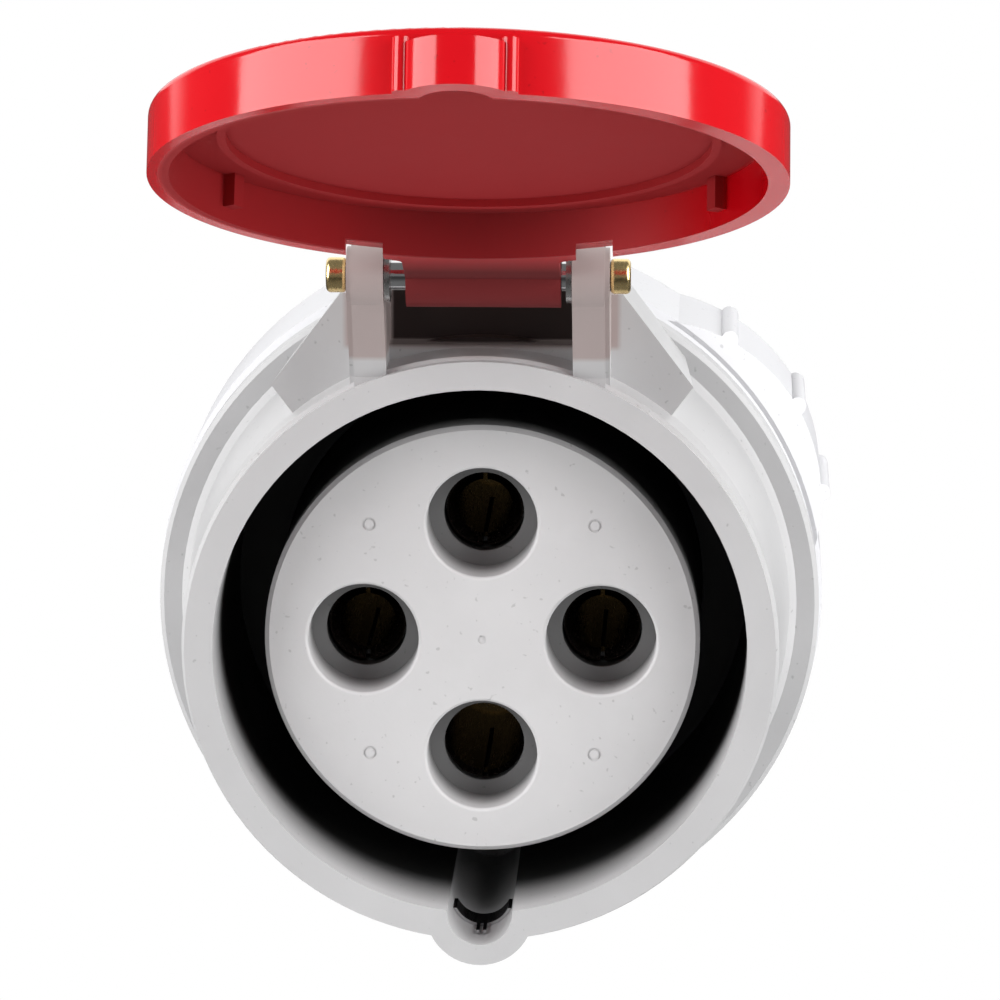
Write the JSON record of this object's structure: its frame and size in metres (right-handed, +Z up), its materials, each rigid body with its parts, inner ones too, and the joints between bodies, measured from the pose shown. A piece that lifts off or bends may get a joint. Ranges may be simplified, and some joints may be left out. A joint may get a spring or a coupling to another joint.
{
  "type": "cable connector",
  "caption": "Round industrial cable connector with sleeve contacts in a deep collar, a keyway, a sprung hinged lid, a locking ring and a cable gland.",
  "frame": {"origin": "centre of the socket's round mouth, in the plane of the collar's rim", "axes": "+Y back along the connector's axis towards the cable, +Z up towards the lid's hinge, +X right as seen from the front"},
  "size_m": [0.0764, 0.2149, 0.1145],
  "materials": {
    "grey_plastic": "satin moulded polyamide, light grey",
    "light_grey_plastic": "satin moulded polyamide, pale grey",
    "insert_plastic": "fine matt moulded polyamide, light grey",
    "red_plastic": "glossy moulded plastic, signal red",
    "contact_brass": "machined brass, a little tarnished",
    "cap_brass": "turned brass",
    "bright_steel": "bright spring steel",
    "pin_steel": "polished steel",
    "zinc_steel": "zinc-plated steel",
    "seal_rubber": "soft black rubber",
    "washer_plastic": "smooth white plastic"
  },
  "bodies": {
    "housing": {"front_housing": "grey_plastic", "keyway_clip": "bright_steel", "contact_insert": "insert_plastic", "contact_carrier": "insert_plastic", "socket_contact_l1": "contact_brass", "socket_contact_l2": "contact_brass", "socket_contact_l3": "contact_brass", "socket_contact_earth": "contact_brass", "contact_clips": "bright_steel", "terminal_screws": "zinc_steel", "insert_screws": "zinc_steel", "hinge_pin": "pin_steel", "pin_cap_left": "cap_brass", "pin_cap_right": "cap_brass", "hinge_washers": "zinc_steel", "lid_spring": "bright_steel", "housing_seal": "seal_rubber", "rear_housing": "grey_plastic", "gland_collet": "grey_plastic", "gland_seal": "seal_rubber"},
    "lid": {"lid": "red_plastic"},
    "locking_ring": {"locking_ring": "light_grey_plastic"},
    "gland_washer": {"gland_washer": "washer_plastic"},
    "gland_nut": {"gland_nut": "light_grey_plastic"}
  },
  "joints": [
    {"name": "lid_hinge", "type": "hinge", "parent": "housing", "child": "lid", "pos_m": [0, -0.0015, 0.042], "axis": [1, 0, 0], "range_deg": [-6, 113.8], "deforming": ["lid_spring"]},
    {"name": "ring_turn", "type": "hinge", "parent": "housing", "child": "locking_ring", "pos_m": [0, 0.045, 0], "axis": [0, 1, 0], "range_deg": [0, 40]},
    {"name": "gland_advance", "type": "slide", "parent": "housing", "child": "gland_washer", "axis": [0, 1, 0], "range_m": [0, 0.002]},
    {"name": "gland_turn", "type": "hinge", "parent": "gland_washer", "child": "gland_nut", "pos_m": [0, 0.13, 0], "axis": [0, 1, 0], "range_deg": [0, 360]}
  ],
  "couplings": [
    {"joint": "gland_advance", "follows": "gland_turn", "m_per_rad": 0.00031831}
  ]
}
